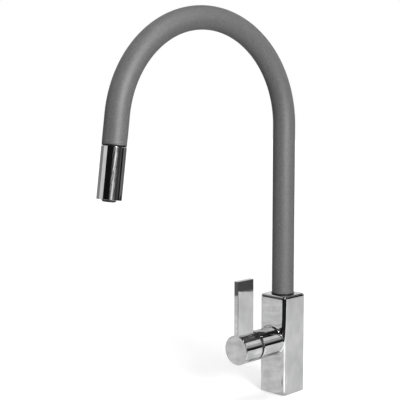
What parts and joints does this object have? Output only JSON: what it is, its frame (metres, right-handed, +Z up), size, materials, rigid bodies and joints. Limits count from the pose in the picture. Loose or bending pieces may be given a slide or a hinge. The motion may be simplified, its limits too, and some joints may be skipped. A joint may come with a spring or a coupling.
{
  "type": "pull-out mixer tap",
  "caption": "Single-lever pull-out mixer tap: square chrome column, front valve with flat lever, grey gooseneck spout and cylindrical spray head.",
  "frame": {"origin": "centre of the column's underside, where it stands on the worktop, midway between the two stud holes", "axes": "+Z up along the column and the spout's swivel; -Y is the front, where the valve and the spout point; +X is to the right seen from the front"},
  "size_m": [0.0587, 0.2734, 0.4421],
  "materials": {
    "chrome": "polished chrome plate on brass",
    "spout_grey": "matte stone-grey coating on steel tube",
    "brass": "turned brass",
    "steel": "turned stainless steel",
    "ceramic": "lapped alumina ceramic",
    "cartridge_plastic": "moulded plastic",
    "rotor_plastic": "moulded plastic",
    "white_nylon": "moulded nylon",
    "black_nylon": "satin black nylon",
    "dark_plastic": "moulded plastic",
    "black_rubber": "matte rubber",
    "hose_grey": "braided nylon sleeve over a rubber hose"
  },
  "bodies": {
    "root": {"body": "chrome", "base_gasket": "black_rubber", "hose_guide_bush": "white_nylon", "spout_bush_lower": "white_nylon", "spout_bush_upper": "white_nylon", "glide_ring": "black_nylon", "spout_stop_screw": "steel", "cartridge_base": "cartridge_plastic", "cartridge_seals": "black_rubber", "cartridge_housing": "cartridge_plastic", "fixed_disc": "ceramic", "bonnet_nut": "brass", "dome_ring": "black_nylon"},
    "spout": {"spout_spigot": "brass", "spout_tube": "spout_grey", "dock_insert": "black_nylon"},
    "hose_end": {"pull_out_hose": "hose_grey", "hose_ferrule": "steel", "hose_washer": "black_rubber"},
    "head": {"hose_nut": "chrome", "head_shell": "chrome", "head_core": "dark_plastic", "check_valve": "white_nylon", "head_base": "chrome", "aerator_seal": "black_rubber", "aerator_housing": "dark_plastic", "jet_plate": "dark_plastic", "aerator_screen": "dark_plastic"},
    "rotor": {"cartridge_rotor": "rotor_plastic", "stem_pin": "steel"},
    "lever": {"cartridge_stem": "steel", "handle": "chrome", "handle_screw": "steel", "handle_plug": "dark_plastic"},
    "disc_slider": {"moving_disc": "ceramic", "disc_carriage": "rotor_plastic"}
  },
  "joints": [
    {"name": "spout_swivel", "type": "hinge", "parent": "root", "child": "spout", "pos_m": [0, 0, 0.1], "axis": [0, 0, 1], "range_deg": [-68.65, 81.35]},
    {"name": "head_pull", "type": "slide", "parent": "spout", "child": "hose_end", "axis": [-0.0141, -0.1263, -0.9919], "range_m": [0, 0.22], "stiffness_N_per_m": 6, "springref_m": -0.8, "deforming": ["pull_out_hose"]},
    {"name": "head_turn", "type": "hinge", "parent": "hose_end", "child": "head", "pos_m": [-0.02613, -0.23483, 0.29617], "axis": [-0.0141, -0.1263, -0.9919], "continuous": true},
    {"name": "lever_turn", "type": "hinge", "parent": "root", "child": "rotor", "pos_m": [0, -0.0423, 0.0625], "axis": [0, 1, 0], "range_deg": [-50, 50]},
    {"name": "lever_tilt", "type": "hinge", "parent": "rotor", "child": "lever", "pos_m": [0, -0.0423, 0.0625], "axis": [1, 0, 0], "range_deg": [0, 25]},
    {"name": "disc_slide", "type": "slide", "parent": "rotor", "child": "disc_slider", "axis": [0, 0, 1], "range_m": [0, 0.00465]}
  ],
  "couplings": [
    {"joint": "disc_slide", "follows": "lever_tilt", "m_per_rad": 0.010654}
  ]
}
